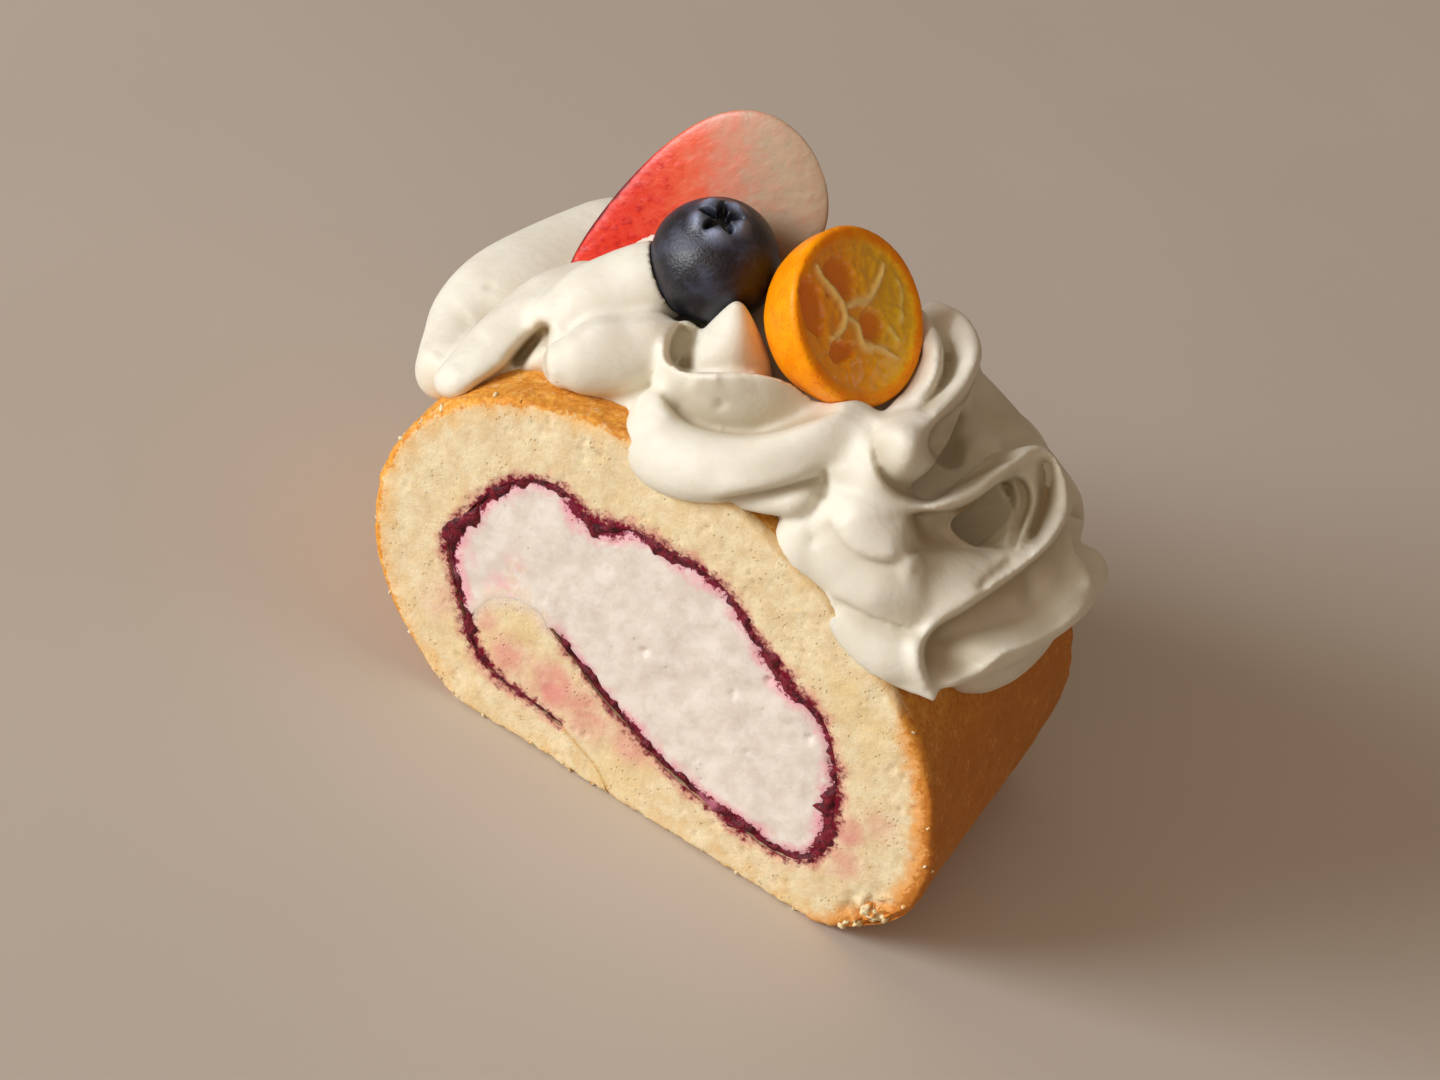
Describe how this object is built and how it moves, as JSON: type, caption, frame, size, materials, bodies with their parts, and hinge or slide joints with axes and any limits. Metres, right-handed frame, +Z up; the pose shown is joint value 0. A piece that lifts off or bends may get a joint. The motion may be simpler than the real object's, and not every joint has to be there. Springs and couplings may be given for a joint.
{
  "type": "swiss roll",
  "caption": "Slice of sponge rolled round jam and cream, lying on its flat base, with piped cream, a strawberry slice, a blueberry and a cut kumquat on top.",
  "frame": {"origin": "middle of the flat base of the roll", "axes": "+X across the slice to the right of its front cut face, +Y along the roll from the front cut face to the back one, +Z up"},
  "size_m": [0.0874, 0.0541, 0.0733],
  "materials": {
    "sponge crumb": "soft open crumb with a browned outside",
    "berry jam": "sticky and glossy",
    "cream filling": "soft and matt",
    "piped cream": "smooth and softly shining",
    "strawberry flesh": "moist",
    "blueberry skin": "waxy bloom",
    "kumquat rind": "moist and shining"
  },
  "bodies": {
    "root": {"sponge": "sponge crumb", "jam": "berry jam", "cream_filling": "cream filling", "cream_topping": "piped cream", "strawberry_slice": "strawberry flesh", "blueberry": "blueberry skin", "kumquat_half": "kumquat rind"}
  },
  "joints": []
}
